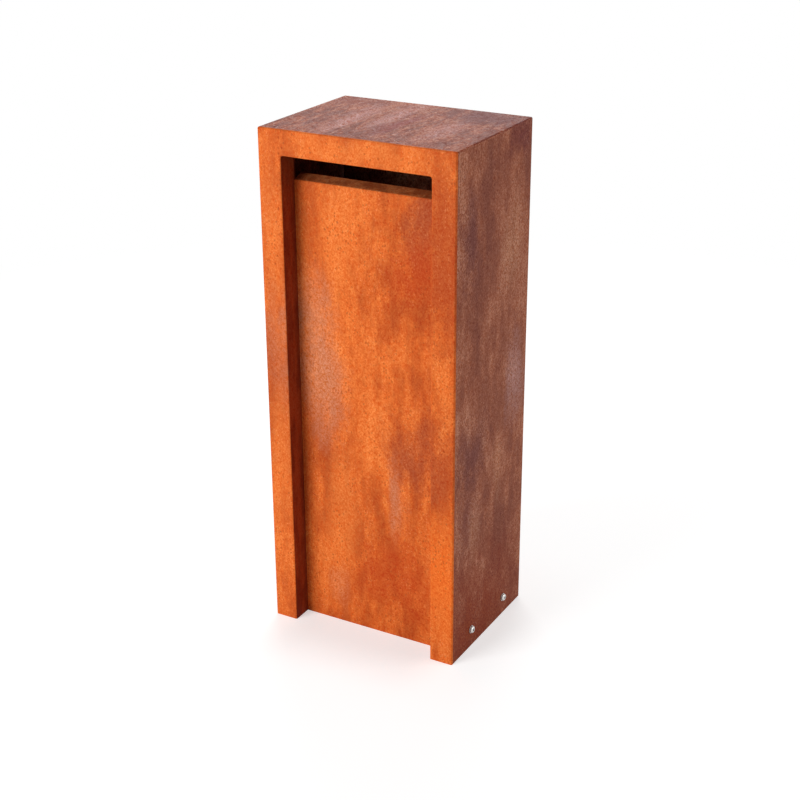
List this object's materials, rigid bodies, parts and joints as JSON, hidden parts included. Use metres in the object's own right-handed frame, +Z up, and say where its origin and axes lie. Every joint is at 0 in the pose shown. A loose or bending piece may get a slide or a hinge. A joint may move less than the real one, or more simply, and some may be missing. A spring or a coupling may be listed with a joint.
{
  "type": "free-standing letterbox",
  "caption": "Upright box letterbox of rusted weathering steel, with a portal front, a recessed panel under the letter slot, and a lockable hinged door at the back.",
  "frame": {"origin": "on the ground, at the middle of the box's footprint", "axes": "+Z up, -Y to the front with the letter slot, +Y to the back with the door, +X to the right as seen from the front"},
  "size_m": [0.4132, 0.3033, 1],
  "materials": {
    "rust_orange": "weathering steel with a vivid orange, fine-grained rust",
    "rust_brown": "weathering steel with a darker brown and purple-grey rust",
    "rust_inside": "weathering steel inside the box, dark even rust",
    "zinc": "galvanised steel, dull grey",
    "bright_steel": "bare stainless steel"
  },
  "bodies": {
    "root": {"front_frame": "rust_orange", "front_panel": "rust_orange", "body_wrapper": "rust_brown", "rear_panel": "rust_brown", "mail_floor": "rust_inside", "upper_hinge_plate": "rust_inside", "lock_keeper": "rust_inside", "base_tray": "zinc", "weld_nut_left_front": "zinc", "weld_nut_left_rear": "zinc", "weld_nut_right_front": "zinc", "weld_nut_right_rear": "zinc", "hinge_pin_lower": "bright_steel", "hinge_pin_upper": "bright_steel", "hinge_washer": "bright_steel", "side_screw_left_front": "bright_steel", "side_washer_left_front": "bright_steel", "side_screw_left_rear": "bright_steel", "side_washer_left_rear": "bright_steel", "side_screw_right_front": "bright_steel", "side_washer_right_front": "bright_steel", "side_screw_right_rear": "bright_steel", "side_washer_right_rear": "bright_steel"},
    "door": {"rear_door": "rust_brown", "lock_housing": "bright_steel", "lock_nut": "zinc"},
    "lock": {"lock_plug": "bright_steel", "lock_cam": "zinc", "cam_washer": "zinc", "cam_screw": "bright_steel"}
  },
  "joints": [
    {"name": "door_hinge", "type": "hinge", "parent": "root", "child": "door", "pos_m": [-0.18224, 0.142, 0], "axis": [0, 0, 1], "range_deg": [0, 110]},
    {"name": "lock_turn", "type": "hinge", "parent": "door", "child": "lock", "pos_m": [0.165, 0, 0.74], "axis": [0, 1, 0], "range_deg": [0, 90]}
  ]
}
